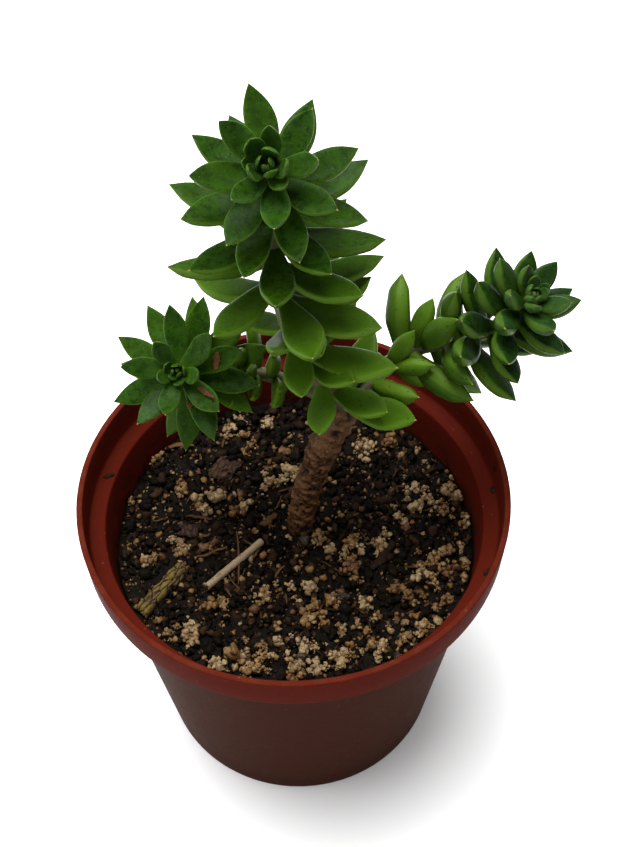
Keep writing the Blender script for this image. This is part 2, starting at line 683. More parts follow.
def stem_material(look):
    """Pale green stem, browner towards its foot."""
    tree = start_material("Green stem")
    foot = attribute(tree, "stem_age")
    green = blend(tree, mottle(tree, 240.0, 1.8), tint(look.stem, 0.55), look.stem)
    patches = times(tree, foot, mottle(tree, 150.0, 1.6))
    brown = plus(tree, patches, stretch(tree, foot, 0.80, 0.95), clamp=True)
    colour = blend(tree, brown, green, (0.028, 0.014, 0.006))
    colour = cover(tree, colour, (0.03, 0.018, 0.006), specks(tree, 1300.0, 0.2), 0.5)
    return finish("Green stem", colour, 0.5, skin_grain(tree, 1300.0, 0.5), 0.10 * MM,
                  Subsurface_Weight=0.05, Subsurface_Scale=0.003)


def bark_material(look):
    """Old bark: brown skin, dark hollows, pale flecks, darker by the soil."""
    tree = start_material("Old bark")
    raised = attribute(tree, "bark_height")
    skin = blend(tree, mottle(tree, 330.0, 2.6), tint(look.colour, 0.16), tint(look.colour, 2.6))
    skin = cover(tree, skin, (0.110, 0.062, 0.032), stretch(tree, raised, 0.70, 1.0), 0.6)
    colour = blend(tree, stretch(tree, raised, 0.62, 0.30), skin, look.crack)
    colour = cover(tree, colour, (0.20, 0.15, 0.10), specks(tree, 1100.0, 0.16), 0.8)
    colour = cover(tree, colour, look.crack, attribute(tree, "bark_foot"), 0.8)
    rough = varied(tree, 700.0, 2.0, 0.45, 0.22)
    return finish("Old bark", colour, rough, skin_grain(tree, 1100.0, 0.55), 0.85 * MM,
                  Specular_IOR_Level=0.14)


def peat_material(look):
    """Damp peat, nearly black, with rusty fibres and small pale flecks."""
    tree = start_material("Peat")
    base = blend(tree, mottle(tree, 420.0, 2.4), tint(look.peat, 0.35), tint(look.peat, 1.9))
    rust = blend(tree, mottle(tree, 300.0, 2.0), (0.012, 0.0055, 0.0025), (0.038, 0.018, 0.008))
    colour = blend(tree, stretch(tree, attribute(tree, "crumb_tone"), 0.62, 1.0), base, rust)
    colour = cover(tree, colour, (0.12, 0.09, 0.055), specks(tree, 1500.0, 0.07), 0.7)
    rough = varied(tree, 800.0, 2.6, 0.55, 0.38)
    return finish("Peat", colour, rough, skin_grain(tree, 1600.0, 0.5), 0.60 * MM, Specular_IOR_Level=0.06)


def grain_material(look):
    """Pale mineral grains: cream to ochre, pitted, stained by the peat below."""
    tree = start_material("Pale grain")
    tone = attribute(tree, "grain_tone")
    colour = blend(tree, stretch(tree, tone, 0.05, 0.50), look.cream, look.ochre)
    colour = blend(tree, stretch(tree, tone, 0.60, 0.80), colour, look.rust)
    colour = blend(tree, stretch(tree, tone, 0.85, 1.0), colour, (0.010, 0.007, 0.0045))
    stain = stretch(tree, mottle(tree, 520.0, 2.4), 0.40, 0.75)
    colour = cover(tree, colour, (0.050, 0.028, 0.011), stain, 0.7)
    colour = cover(tree, colour, (0.016, 0.010, 0.0045), specks(tree, 2600.0, 0.45), 0.75)
    colour = blend(tree, stretch(tree, attribute(tree, "grain_low"), 0.10, 0.62), colour, look.peat)
    return finish("Pale grain", colour, 0.42, skin_grain(tree, 2400.0, 0.5), 0.50 * MM,
                  Specular_IOR_Level=0.25)


def chip_material(name, light, dark, crack):
    """Broken bark: two browns in streaks, with dark cracks."""
    tree = start_material(name)
    colour = blend(tree, mottle(tree, 260.0, 2.6), dark, light)
    colour = blend(tree, stretch(tree, attribute(tree, "bark_height"), 0.64, 0.36), colour, crack)
    colour = cover(tree, colour, tint(light, 1.7), specks(tree, 1600.0, 0.2), 0.5)
    return finish(name, colour, 0.8, skin_grain(tree, 1800.0, 0.4), 0.22 * MM, Specular_IOR_Level=0.2)


def straw_material(name, pale, dark):
    """Dry stalk or sliver: pale, streaked and spotted with brown."""
    tree = start_material(name)
    colour = blend(tree, mottle(tree, 500.0, 1.8), tint(pale, 0.7), pale)
    colour = blend(tree, attribute(tree, "straw_tone"), colour, dark)
    spots = stretch(tree, mottle(tree, 420.0, 2.6), 0.62, 0.80)
    colour = cover(tree, colour, tint(pale, 0.30), spots, 0.7)
    return finish(name, colour, 0.65, skin_grain(tree, 1600.0, 0.4), 0.12 * MM, Specular_IOR_Level=0.06)


# The pot
def inner_radius(height):
    """The radius of the pot's inner wall below its collar."""
    top = POT_HEIGHT - COLLAR_HEIGHT
    share = (height - FLOOR_THICKNESS) / (top - FLOOR_THICKNESS)
    foot = FOOT_RADIUS - WALL_THICKNESS
    return foot + (NECK_RADIUS - WALL_THICKNESS - foot) * share


def rounded(corner, start, end, size, steps=4):
    """Points of a small round from one side of a corner to the other."""
    corner, start, end = Vector(corner), Vector(start), Vector(end)
    a = corner + (start - corner).normalized() * size
    b = corner + (end - corner).normalized() * size
    points = []
    for k in range(steps + 1):
        t = k / steps
        points.append(a * (1 - t) ** 2 + corner * 2 * t * (1 - t) + b * t ** 2)
    return [tuple(point) for point in points]


def pot_profile():
    """The pot's section as corners with the radius of each round, from the axis round to the axis."""
    collar_foot = POT_HEIGHT - COLLAR_HEIGHT
    collar_radius = RIM_RADIUS - COLLAR_TAPER
    ledge = collar_foot + 0.4 * MM
    corners = (
        ((0.0, 0.0), 0.0),
        ((FOOT_RADIUS - 0.2 * MM, 0.0), 0.9 * MM),
        ((NECK_RADIUS, collar_foot - 0.5 * MM), 0.4 * MM),
        ((collar_radius, collar_foot + 0.1 * MM), 0.45 * MM),
        ((RIM_RADIUS, POT_HEIGHT), 0.55 * MM),
        ((RIM_RADIUS - LIP_THICKNESS, POT_HEIGHT), 0.55 * MM),
        ((RIM_RADIUS - LIP_THICKNESS - 0.6 * MM, ledge + 0.3 * MM), 0.8 * MM),
        ((inner_radius(ledge), ledge - 0.4 * MM), 0.6 * MM),
        ((inner_radius(FLOOR_THICKNESS), FLOOR_THICKNESS), 1.4 * MM),
        ((0.0, FLOOR_THICKNESS), 0.0),
    )
    points = []
    for k, (corner, size) in enumerate(corners):
        if size:
            points += rounded(corner, corners[k - 1][0], corners[k + 1][0], size)
        else:
            points.append(corner)
    fine = [points[0]]
    for a, b in zip(points, points[1:]):
        pieces = max(1, round((Vector(b) - Vector(a)).length / LONGEST_STEP))
        fine += [tuple(Vector(a).lerp(Vector(b), (k + 1) / pieces)) for k in range(pieces)]
    return fine


def drain_cutter(number):
    """A short rod that cuts one drain hole."""
    angle = 2 * math.pi * (number + 0.5) / DRAIN_HOLES
    spot = Matrix.Translation((DRAIN_CIRCLE * math.cos(angle), DRAIN_CIRCLE * math.sin(angle), 0.0))
    mesh = bpy.data.meshes.new("drain")
    bm = bmesh.new()
    bmesh.ops.create_cone(bm, cap_ends=True, segments=32, radius1=DRAIN_RADIUS, radius2=DRAIN_RADIUS,
                          depth=4 * FLOOR_THICKNESS, matrix=spot)
    bm.to_mesh(mesh)
    bm.free()
    return add_object("drain", mesh)


def cut_away(piece, cutter):
    """Take the cutter's shape out of a piece for good."""
    cut = piece.modifiers.new("Cut", "BOOLEAN")
    cut.operation = "DIFFERENCE"
    cut.object = cutter
    bpy.context.view_layer.update()
    graph = bpy.context.evaluated_depsgraph_get()
    baked = bpy.data.meshes.new_from_object(piece.evaluated_get(graph), depsgraph=graph)
    piece.modifiers.clear()
    piece.data = baked
    bpy.data.objects.remove(cutter, do_unlink=True)


def build_pot(look):
    """The pot's shell, turned finely, with a rim that wanders a little, and its drain holes."""
    profile = pot_profile()[1:-1]
    step_height = POT_HEIGHT - COLLAR_HEIGHT
    points, edge, soiled, wall = [(0.0, 0.0, 0.0)], [0.0], [0.0], [1.0]
    for radius, height in profile:
        high = max(0.0, height - 0.6 * POT_HEIGHT) / (0.4 * POT_HEIGHT)
        on_collar = float(radius > NECK_RADIUS)
        at_rim = math.exp(-((POT_HEIGHT - height) / RIM_WEAR) ** 2) * on_collar
        at_step = math.exp(-((step_height + 0.2 * MM - height) / STEP_WEAR) ** 2) * on_collar
        inside = radius < inner_radius(height) + 0.2 * MM and FLOOR_THICKNESS < height < POT_HEIGHT - 5 * MM
        outside = radius > inner_radius(height) + 0.6 * WALL_THICKNESS and height < step_height
        smear = math.exp(-((height - SOIL_LEVEL) / SOIL_SMEAR) ** 2)
        for k in range(POT_SEGMENTS):
            angle = 2 * math.pi * k / POT_SEGMENTS
            x, y = math.cos(angle), math.sin(angle)
            drift = look.waviness * high * wander(1.2 * x, 1.2 * y, 0.3, 1.0)
            lift = look.waviness * 0.7 * high * wander(1.6 * x, 1.6 * y, 5.3, 1.0)
            nick = 0.05 * MM * at_rim * wander(30 * x, 30 * y, height / MM, 1.0)
            reach = radius + drift + nick
            points.append((reach * x, reach * y, height + min(lift, LARGEST_LIFT)))
            edge.append(max(at_rim, 0.55 * at_step))
            soiled.append(smear if inside else 0.0)
            wall.append(float(outside))
    points.append((0.0, 0.0, FLOOR_THICKNESS))
    values = {"pot_edge": edge + [0.0], "pot_soiled": soiled + [0.0], "pot_wall": wall + [0.0]}
    pot = mesh_piece("pot_shell", points, sheath_faces(len(profile), POT_SEGMENTS), values, sharp=50.0)
    for number in range(DRAIN_HOLES):
        cut_away(pot, drain_cutter(number))
    pot.data.materials.clear()
    pot.data.materials.append(pot_material(look))
    place(pot, "pot_plastic", "pot")


# The soil
def soil_height(x, y):
    """The height of the soil's lumpy surface, as on the solid."""
    lump = noise.noise(Vector((x, y, 0.0)) / (11.0 * MM))
    grain = noise.noise(Vector((x, y, 0.02)) / (4.0 * MM))
    return SOIL_LEVEL + SOIL_LUMP * lump + SOIL_GRAIN * grain


def fine_soil_height(x, y):
    """The same surface with crumbs and hollows."""
    crumb = abs(wander(x, y, 0.04, 2.1 * MM)) - 0.25
    speck = abs(wander(x, y, 0.07, 0.9 * MM)) - 0.25
    return soil_height(x, y) + 2.0 * MM * crumb + 0.8 * MM * speck


def build_soil(look):
    """The root ball, with a crumbly top that closes round the trunk."""
    bottom = FLOOR_THICKNESS + SOIL_GAP
    shoulder = SOIL_LEVEL - SOIL_SHOULDER
    edge_radius = inner_radius(SOIL_LEVEL) - SOIL_GAP
    hole_radius = TRUNK_RADIUS * 0.7
    ahead, aside = Vector((1.0, 0.0, 0.0)), Vector((0.0, 1.0, 0.0))
    circle = [way for _, way in ways_round(SOIL_SEGMENTS, ahead, aside)]
    levels = ((inner_radius(bottom) - 2.5 * MM, bottom),
              (inner_radius(bottom + 3 * MM) - SOIL_GAP, bottom + 3 * MM),
              (inner_radius(shoulder) - SOIL_GAP, shoulder))
    points = [Vector((0.0, 0.0, bottom))]
    for radius, height in levels:
        points += [way * radius + UP * height for way in circle]
    for ring in range(SOIL_RINGS + 1):
        share = ring / SOIL_RINGS
        for way in circle:
            point = (way * edge_radius).lerp(way * hole_radius + TRUNK_FOOT, share)
            point.z = fine_soil_height(point.x, point.y)
            points.append(point)
    points.append(TRUNK_FOOT + UP * (SOIL_LEVEL - 1.0 * MM))
    tones = [0.5 + 0.5 * wander(p.x, p.y, 0.11, 5.0 * MM) for p in points]
    faces = sheath_faces(SOIL_RINGS + 1 + len(levels), SOIL_SEGMENTS)
    soil = mesh_piece("soil_bed", points, faces, {"crumb_tone": tones}, peat_material(look))
    place(soil, "soil_mix", "soil")


def lump_template():
    """The points and faces of a small round lump."""
    bm = bmesh.new()
    bmesh.ops.create_icosphere(bm, subdivisions=2, radius=1.0)
    points = np.array([vertex.co[:] for vertex in bm.verts])
    faces = np.array([[vertex.index for vertex in face.verts] for face in bm.faces])
    bm.free()
    return points, faces


def random_way(draw, size):
    """A unit vector that points anywhere."""
    way = draw.normal(size=size)
    return way / np.linalg.norm(way)


def add_lumps(skin, draw, centres, sizes, flatness, roughness, **values):
    """Add uneven lumps, each turned its own way and dented."""
    template, faces = lump_template()
    for k, (centre, size) in enumerate(zip(centres, sizes)):
        w, x, y, z = random_way(draw, 4)
        spin = np.array(((1 - 2 * (y * y + z * z), 2 * (x * y - z * w), 2 * (x * z + y * w)),
                         (2 * (x * y + z * w), 1 - 2 * (x * x + z * z), 2 * (y * z - x * w)),
                         (2 * (x * z - y * w), 2 * (y * z + x * w), 1 - 2 * (x * x + y * y))))
        dents = sum(np.sin(template @ draw.normal(scale=3.2, size=3) + draw.uniform(0, 6.28))
                    for _ in range(4))
        points = template * (1 + roughness * dents[:, None] / 2)
        points = points * draw.uniform(1 - flatness, 1.0, size=3) @ spin.T * size + centre
        painted = {key: data[k] for key, data in values.items()}
        low = np.clip((centre[2] - points[:, 2]) / size * 0.5 + 0.25, 0, 1)
        skin.add(points, faces.tolist(), grain_low=low, **painted)


def scatter(draw, name, material, centres, sizes, flatness, roughness, **values):
    """Make one piece of the lumps laid so far, then empty the lists."""
    skin = Skin()
    painted = {key: np.array(data) for key, data in values.items()}
    add_lumps(skin, draw, np.array(centres), np.array(sizes), flatness, roughness, **painted)
    place(skin.piece(name, material), "soil_mix")
    for rows in (centres, sizes, *values.values()):
        rows.clear()


def build_grains(look):
    """Pale grains in clumps and strays, and dark crumbs between them."""
    draw = np.random.default_rng(look.seed)
    limit = inner_radius(SOIL_LEVEL) - 2 * SOIL_GAP
    centres, sizes, tones = [], [], []

    def lay(x, y, size, tone, pile):
        size = min(size, look.largest)
        near_trunk = math.hypot(x - TRUNK_FOOT.x, y - TRUNK_FOOT.y) < TRUNK_RADIUS + 1.2 * size
        pull = min(1.0, (limit - 1.02 * size) / max(math.hypot(x, y), size))
        if pull > 0.95 and not near_trunk:
            x, y = pull * x, pull * y
            centres.append((x, y, fine_soil_height(x, y) + pile + LUMP_SINK * size))
            sizes.append(size)
            tones.append(limited(tone))

    def somewhere():
        reach = limit * math.sqrt(draw.uniform())
        angle = draw.uniform(0, 2 * math.pi)
        return reach * math.cos(angle), reach * math.sin(angle)

    cores = []
    for x, y, spread, tone in CLUMPS:
        for _ in range(max(2, round(look.crowding * spread))):
            reach = spread * draw.uniform() ** 0.7
            angle = draw.uniform(0, 2 * math.pi)
            size = 2.0 * look.grain * draw.lognormal(0.0, 0.25)
            pile = PILE_HEIGHT * max(0.0, 1 - (reach / spread) ** 2) * draw.uniform(0.0, 1.0)
            cores.append(((x + reach * math.cos(angle)) * MM, (y + reach * math.sin(angle)) * MM, size,
                          tone * 0.7 + draw.normal(0, 0.14), pile))
    for x, y, size, tone, pile in cores:
        for _ in range(look.knobs):
            way = random_way(draw, 3)
            knob = size * draw.uniform(0.30, 0.66)
            lift = pile + LUMP_SINK * size + abs(way[2]) * size * 0.85 - LUMP_SINK * knob
            lay(x + way[0] * size, y + way[1] * size, knob, tone + draw.normal(0, 0.10), lift)
    grain = grain_material(look)
    scatter(draw, "pale_grains", grain, centres, sizes, 0.35, 0.28, grain_tone=tones)
    for core in cores:
        lay(*core)
    for _ in range(look.stray_grains):
        lay(*somewhere(), look.grain * draw.lognormal(-0.25, 0.50), draw.uniform(0.15, 1.0), 0.0)
    scatter(draw, "stray_grains", grain, centres, sizes, 0.45, 0.38, grain_tone=tones)
    for _ in range(look.crumbs):
        lay(*somewhere(), 1.0 * MM * draw.lognormal(0.0, 0.45), draw.uniform(0.0, 1.0), 0.0)
    scatter(draw, "peat_crumbs", bpy.data.materials["Peat"], centres, sizes, 0.6, 0.36, crumb_tone=tones)


# The trunk
def trunk_stem():
    """The trunk's course above the soil, as on the solid."""
    foot = Vector((TRUNK_FOOT.x, TRUNK_FOOT.y, SOIL_LEVEL - 4.0 * MM))
    top = TRUNK_TOP + RIM_CENTRE
    return Stem((foot, foot + TRUNK_RISE, top + TRUNK_LEAN, top))


def scar_relief(distance, angle, scars):
    """How far the scars near a place on the trunk swell, less the groove over each."""
    relief = 0.0
    for place_along, place_round, size in scars:
        turn = (angle - place_round + math.pi) % (2 * math.pi) - math.pi
        down = (distance - place_along) / (SCAR_HALF_HEIGHT * size)
        wide = turn / (SCAR_HALF_TURN * size)
        swell = math.exp(-down * down - wide * wide)
        lip = math.exp(-((down - 0.9 + 0.7 * wide * wide) / 0.35) ** 2 - wide * wide)
        relief += 0.85 * swell - 0.75 * lip
    return relief


def build_trunk(look):
    """The bare old trunk: ringed and knobbed by the scars of fallen leaves."""
    stem = trunk_stem()
    rows, around = 170, 84
    draw = random.Random(5)
    scars = []
    for k in range(look.scars):
        distance = stem.length * (k + 0.5) / look.scars + draw.uniform(-0.4, 0.4) * MM
        turn = math.radians(GOLDEN_ANGLE * k + draw.uniform(-14, 14))
        scars.append((distance, turn, draw.uniform(0.6, 1.25)))
    points, heights, lows = [stem.points[0] - UP * TRUNK_ROOT], [0.5], [1.0]
    for row in range(rows):
        share = row / (rows - 1)
        distance = stem.length * share
        centre, (along, side, across) = stem.at(distance)
        radius = TRUNK_RADIUS + (TRUNK_TOP_RADIUS - TRUNK_RADIUS) * share ** 2
        near = [scar for scar in scars if abs(scar[0] - distance) < SCAR_REACH]
        for angle, out in ways_round(around, side, across):
            spot = centre + out * radius
            height = scar_relief(distance, angle, near) + 0.6 * wander(*spot, 1.6 * MM)
            height += 0.55 * wander(*spot, 0.7 * MM) + 0.4 * wander(*spot, 5.0 * MM)
            points.append(centre + out * (radius * 0.965 + look.scar_height * height))
            heights.append(limited(0.5 + 0.45 * height))
            lows.append(limited(1 - (distance - 3.0 * MM) / (9.0 * MM)))
    points.append(stem.points[-1] + stem.frames[-1][0] * 2.2 * MM)
    values = {"bark_height": heights + [0.5], "bark_foot": lows + [0.0]}
    trunk = mesh_piece("trunk_bark", points, sheath_faces(rows, around), values, bark_material(look))
    place(trunk, "bark", "trunk")


# The shoots
def leaf_outline(t, bluntness):
    """The outline of a leaf, as on the solids: a narrow foot, widest past the middle, a point."""
    swell = np.sin(np.pi * (LEAF_START + (1 - LEAF_START) * t) ** LEAF_WIDEST).clip(0.0)
    return LEAF_BASE_WIDTH * (1 - t) + (LEAF_FOOT_SHARE + (1 - LEAF_FOOT_SHARE) * t) * swell ** bluntness


def leaf_stand(stem, rule, distance, turn, tilt, length):
    """A leaf's root, direction, upper side and length, from its place on the stem."""
    root, (along, side, across) = stem.at(distance)
    turn = math.radians(turn)
    tilt = math.radians(tilt)
    out = side * math.cos(turn) + across * math.sin(turn)
    direction = along * math.cos(tilt) + out * math.sin(tilt)
    direction.z -= rule["sag"] * math.sin(tilt) ** 2
    direction.normalize()
    upper = along * math.sin(tilt) - out * math.cos(tilt)
    upper = upper.lerp(UP, rule["light"] * math.sin(tilt) ** 2)
    upper = (upper - direction * upper.dot(direction)).normalized()
    return root, direction, upper, length * MM


def leaf_places(stem, rule):
    """Each leaf's stand, its age, from 0 at the growing tip to 1 at the stem's foot, and its width."""
    draw = random.Random(rule["seed"])
    step = rule["turn"] * (GOLDEN_ANGLE + rule["divergence"])
    places = []

    def add(distance, turn, tilt, length, age, width):
        places.append((leaf_stand(stem, rule, distance, turn, tilt, length), age, width * length * MM))

    for distance, turn, tilt, length in rule["old_leaves"]:
        age = 1.0 - OLD_LEAF_YOUTH * distance * MM
        add(distance * MM, turn, tilt, length, age, rule["old_width"])
    for k in range(BUD_LEAVES):
        share = 1 - k / BUD_LEAVES
        length = (BUD_SHORTEST + (BUD_LONGEST - BUD_SHORTEST) * share) * rule["bud_size"]
        distance = stem.length - TIP_INSET * share * MM
        add(distance, rule["phase"] - step * (k + 1), BUD_TILT * share, length, 0.0, rule["width"])
    for n in range(rule["leaf_count"]):
        sway, nod, grow = (draw.uniform(-1.0, 1.0) for _ in range(3))
        distance = stem.length - (rule["pitch"] * n ** rule["growth"] + TIP_INSET) * MM
        ageing = math.exp(-n / rule["tilt_rate"])
        tilt = rule["old_tilt"] - (rule["old_tilt"] - rule["young_tilt"]) * ageing + LEAF_NOD * nod
        turn = rule["phase"] + step * n + LEAF_SWAY * sway
        length = rule["leaf_length"] * (1 - math.exp(-(n + 1) / rule["length_rate"]))
        length *= (1 - rule["length_fade"] * n / rule["leaf_count"]) * (1 + LEAF_GROWTH_SPREAD * grow)
        if distance > 2 * rule["stem_radius"] * MM:
            add(distance, turn, tilt, length, TIP_AGEING * n / rule["leaf_count"], rule["width"])
    return places


def leaf_section(rule, age, around):
    """A leaf's section: how wide and how high each point round it lies, as shares of its half sizes."""
    angles = 2 * np.pi * np.arange(around) / around
    sideways, upright = np.cos(angles), np.sin(angles)
    above = (rule["fill"] + 0.28 * age) * np.abs(upright) ** 0.55 - (0.24 - 0.14 * age) * upright ** 2
    below = rule["keel"] * np.abs(upright) ** 0.90 * (0.90 + 0.10 * (1 - np.abs(sideways)))
    return sideways, upright, np.where(upright > 0, above, -below)


def add_leaf(skin, draw, stand, age, width, rule, look):
    """One leaf: thick and rounded, hollowed above, keeled below, ending in a fine dry point."""
    root, direction, upper, length = stand
    root, direction, upper = [np.array(part) for part in (root, direction, upper)]
    rows, around = look.rows, look.around
    young = math.exp(-age * 9.0)
    across = np.cross(direction, upper)
    t = 1 - (1 - np.arange(1, rows + 1) / (rows + 0.35)) ** 1.22
    bluntness = 1.10 - 0.46 * young + draw.uniform(-0.05, 0.05)
    half = leaf_outline(t, bluntness) * width * (1 + 0.72 * young) * draw.uniform(0.96, 1.04) / 2
    half = np.maximum(half, 0.16 * MM * (1 - t) ** 0.3)
    deep = max(rule["thickness"] * length * (1 + 0.45 * young), LEAF_MIN_THICKNESS) * (1 - 0.45 * t ** 3)
    deep = np.minimum(deep, 1.15 * half + 0.05 * MM) * draw.uniform(0.92, 1.1)
    sideways, upright, section = leaf_section(rule, age, around)
    camber = LEAF_CAMBER * (1 + 1.6 * young) + draw.uniform(-0.012, 0.012)
    hook = draw.uniform(0.0, 0.03)
    swerve = draw.uniform(-0.035, 0.035)
    lean = draw.uniform(-0.20, 0.20) * (1 - young) * (t - 0.2)
    rise = hook * length * np.clip(t - 0.55, 0, None) ** 2 * 4 - camber * length * 4 * t * (1 - t)
    centre = (root + np.outer(t * length, direction) + np.outer(rise, upper)
              + np.outer(swerve * length * np.sin(np.pi * t), across))
    wide = np.outer(np.cos(lean), across) + np.outer(np.sin(lean), upper)
    thick = np.outer(np.cos(lean), upper) - np.outer(np.sin(lean), across)
    ring = (centre[:, None, :] + (half[:, None] * sideways)[:, :, None] * wide[:, None, :]
            + (deep[:, None] * section)[:, :, None] * thick[:, None, :])
    points = ring.reshape(-1, 3)
    swell = np.array([wander(*point, 4.5 * MM) for point in points]) * 0.028 * length * rule["width"]
    shape = np.sin(np.pi * np.repeat(t, around)) * swell
    points = points + shape[:, None] * np.repeat(thick, around, axis=0)
    tip = root + direction * (length + 0.25 * MM) + upper * (hook * length * 0.81)
    rim = np.tile(np.abs(sideways) ** 3, rows)
    under = np.tile(np.where(upright < -0.05, 1.0, 0.0), rows)
    skin.add(np.vstack(([root], points, [tip])), sheath_faces(rows, around), leaf_age=age,
             leaf_tone=draw.uniform(0, 1), leaf_rim=np.concatenate(([0], rim, [1])),
             leaf_under=np.concatenate(([0], under, [0])),
             leaf_along=np.concatenate(([0], np.repeat(t, around), [1])))


def add_stem(skin, stem, rule, places):
    """The green stem, swollen where each leaf is set on it."""
    rows, around = 110, 28
    radius_foot = rule["stem_radius"] * MM
    joints = [(stand[0], stand[1]) for stand, _, _ in places]
    points, ages = [stem.points[0]], [1.0]
    for row in range(rows):
        share = row / (rows - 1)
        centre, (along, side, across) = stem.at(stem.length * share)
        radius = radius_foot * (1.0 - STEM_TAPER * share ** 2)
        near = [(root, way) for root, way in joints if (root - centre).length < 2.2 * MM]
        for angle, out in ways_round(around, side, across):
            swell = sum(math.exp(-((root - centre).length / (1.3 * MM)) ** 2) * max(out.dot(way), 0.0) ** 4
                        for root, way in near)
            spot = centre + out * radius
            rough = 0.25 * wander(*spot, 2.2 * MM) + 0.12 * wander(*spot, 0.8 * MM)
            points.append(spot + out * (0.35 * MM * min(swell, 1.2) + 0.5 * MM * rough))
            ages.append(max(0.0, 1 - share * 1.6))
    points.append(stem.points[-1] + stem.frames[-1][0] * radius_foot * 0.2)
    skin.add([tuple(point) for point in points], sheath_faces(rows, around), stem_age=ages + [0.0])


def build_shoots(look):
    """Three shoots: for each, one piece of leaves and one stem."""
    finishes = {
        "leaf_green": leaf_material("Green leaf", look.green, look, 0.9),
        "leaf_blue_green": leaf_material("Blue-green leaf", look.blue_green, look, 1.0),
    }
    stem_finish = stem_material(look)
    for name, rule in SHOOTS.items():
        slot = "leaf_blue_green" if name == "right_shoot" else "leaf_green"
        stem = Stem([Vector(point) * MM + RIM_CENTRE for point in rule["course"]])
        places = leaf_places(stem, rule)
        draw = random.Random(rule["seed"] + 20)
        leaves, stalk = Skin(), Skin()
        for stand, age, width in places:
            add_leaf(leaves, draw, stand, age, width, rule, look)
        add_stem(stalk, stem, rule, places)
        place(leaves.piece(name.replace("shoot", "leaves"), finishes[slot]), slot, name)
        place(stalk.piece(name.replace("shoot", "stem"), stem_finish), slot, name)


# Loose pieces
def cracks(x, y, size):
    """How far a place lies from the nearest crack in a net of cracks, from 0 in one to 1."""
    point = Vector((x / size, y / size, 0.0))
    distances = noise.voronoi(point, distance_metric="DISTANCE")[0]
    return min(1.0, (distances[1] - distances[0]) * 3.0)


def build_chip(name, material):
    """A broken flake in the place of its solid, with a cracked top and torn edges."""
    corners, rows, columns = CHIPS[name]
    a, b, c, d = [Vector((x, y, 0.0)) * MM for x, y in corners]
    low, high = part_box(name)
    body = high.z - low.z
    length, width = (d - a).length, (b - a).length
    along_x = Matrix.Rotation(-math.atan2(d.y - a.y, d.x - a.x), 3, "Z")
    # Without a seed, vector noise starts from the clock and tears the edges otherwise in each run
    noise.seed_set(TEAR_SEED)
    below, above, heights = [], [], []
    for row in range(rows):
        along = row / (rows - 1)
        for column in range(columns):
            across = column / (columns - 1)
            point = a.lerp(d, along).lerp(b.lerp(c, along), across)
            near = min(min(along, 1 - along) * length, min(across, 1 - across) * width)
            tear = noise.noise_vector(point / (1.4 * MM)) * 0.45
            tear += noise.noise_vector(point / (4.0 * MM)) * 0.5
            point += Vector((tear.x, tear.y, 0.0)) * MM * math.exp(-near / (1.2 * MM))
            spot = along_x @ point
            crack = cracks(spot.x * 0.55, spot.y * 1.6, 2.1 * MM)
            slope = math.exp(-near / (0.45 * MM))
            below.append(Vector((point.x, point.y, low.z + body * 0.16 * slope)))
            relief = 0.16 * wander(*point, 2.2 * MM) + 0.10 * wander(*point, 0.7 * MM) + 0.22 * (crack - 1)
            above.append(Vector((point.x, point.y, low.z + body * (0.92 + relief) * (1 - 0.45 * slope))))
            heights.append(crack * 0.7 + 0.3)
    size = rows * columns
    faces = []
    for row in range(rows - 1):
        for column in range(columns - 1):
            k = row * columns + column
            faces.append((k, k + 1, k + columns + 1, k + columns))
            faces.append((size + k, size + k + 1, size + k + columns + 1, size + k + columns))
    last = size - columns
    border = [*range(columns), *range(2 * columns - 1, size, columns),
              *range(size - 2, last - 1, -1), *range(last - columns, 0, -columns)]
    for k, after in zip(border, border[1:] + border[:1]):
        faces.append((k, after, size + after, size + k))
    values = {"bark_height": [0.5] * size + heights}
    return mesh_piece(name + "_fine", below + above, faces, values, material, sharp=60.0)


def build_twig():
    """The dry stalk, hollow at its front end, in the place of its solid."""
    low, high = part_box("twig")
    start, end = [Vector((x * MM, y * MM, (low.z + high.z) / 2)) for x, y in TWIG_ENDS]
    along = (end - start).normalized()
    side = along.cross(UP)
    across = side.cross(along)
    length = (end - start).length
    around = 28
    rows = [(TWIG_BORE_DEPTH, TWIG_BORE_RADIUS), (0.1 * MM, TWIG_BORE_RADIUS),
            (0.0, TWIG_BORE_RADIUS + 0.1 * MM), (0.0, TWIG_RADIUS - 0.2 * MM), (0.15 * MM, TWIG_RADIUS)]
    rows += [(length * k / 60, TWIG_RADIUS) for k in range(2, 59)]
    rows += [(length * 0.985, TWIG_RADIUS), (length, TWIG_RADIUS * 0.75)]
    points, tones = [start + along * TWIG_BORE_DEPTH], [1.0]
    for number, (distance, radius) in enumerate(rows):
        for angle, out in ways_round(around, side, across):
            spot = start + along * distance + out * radius
            uneven = 0.10 * wander(*spot, 1.8 * MM) + 0.06 * wander(*spot, 0.6 * MM)
            torn = 0.35 * MM * wander(*(spot + out * 3 * MM), 0.7 * MM) if number in (1, 2, 3, 4) else 0.0
            points.append(spot + out * radius * uneven + along * torn)
            tones.append(0.9 if number < 2 else 0.0)
    dry = straw_material("Dry stalk", (0.26, 0.19, 0.115), (0.045, 0.026, 0.013))
    twig = mesh_piece("twig_stalk", points + [end], sheath_faces(len(rows), around),
                      {"straw_tone": tones + [0.4]}, dry, sharp=60.0)
    place(twig, "straw", "twig")


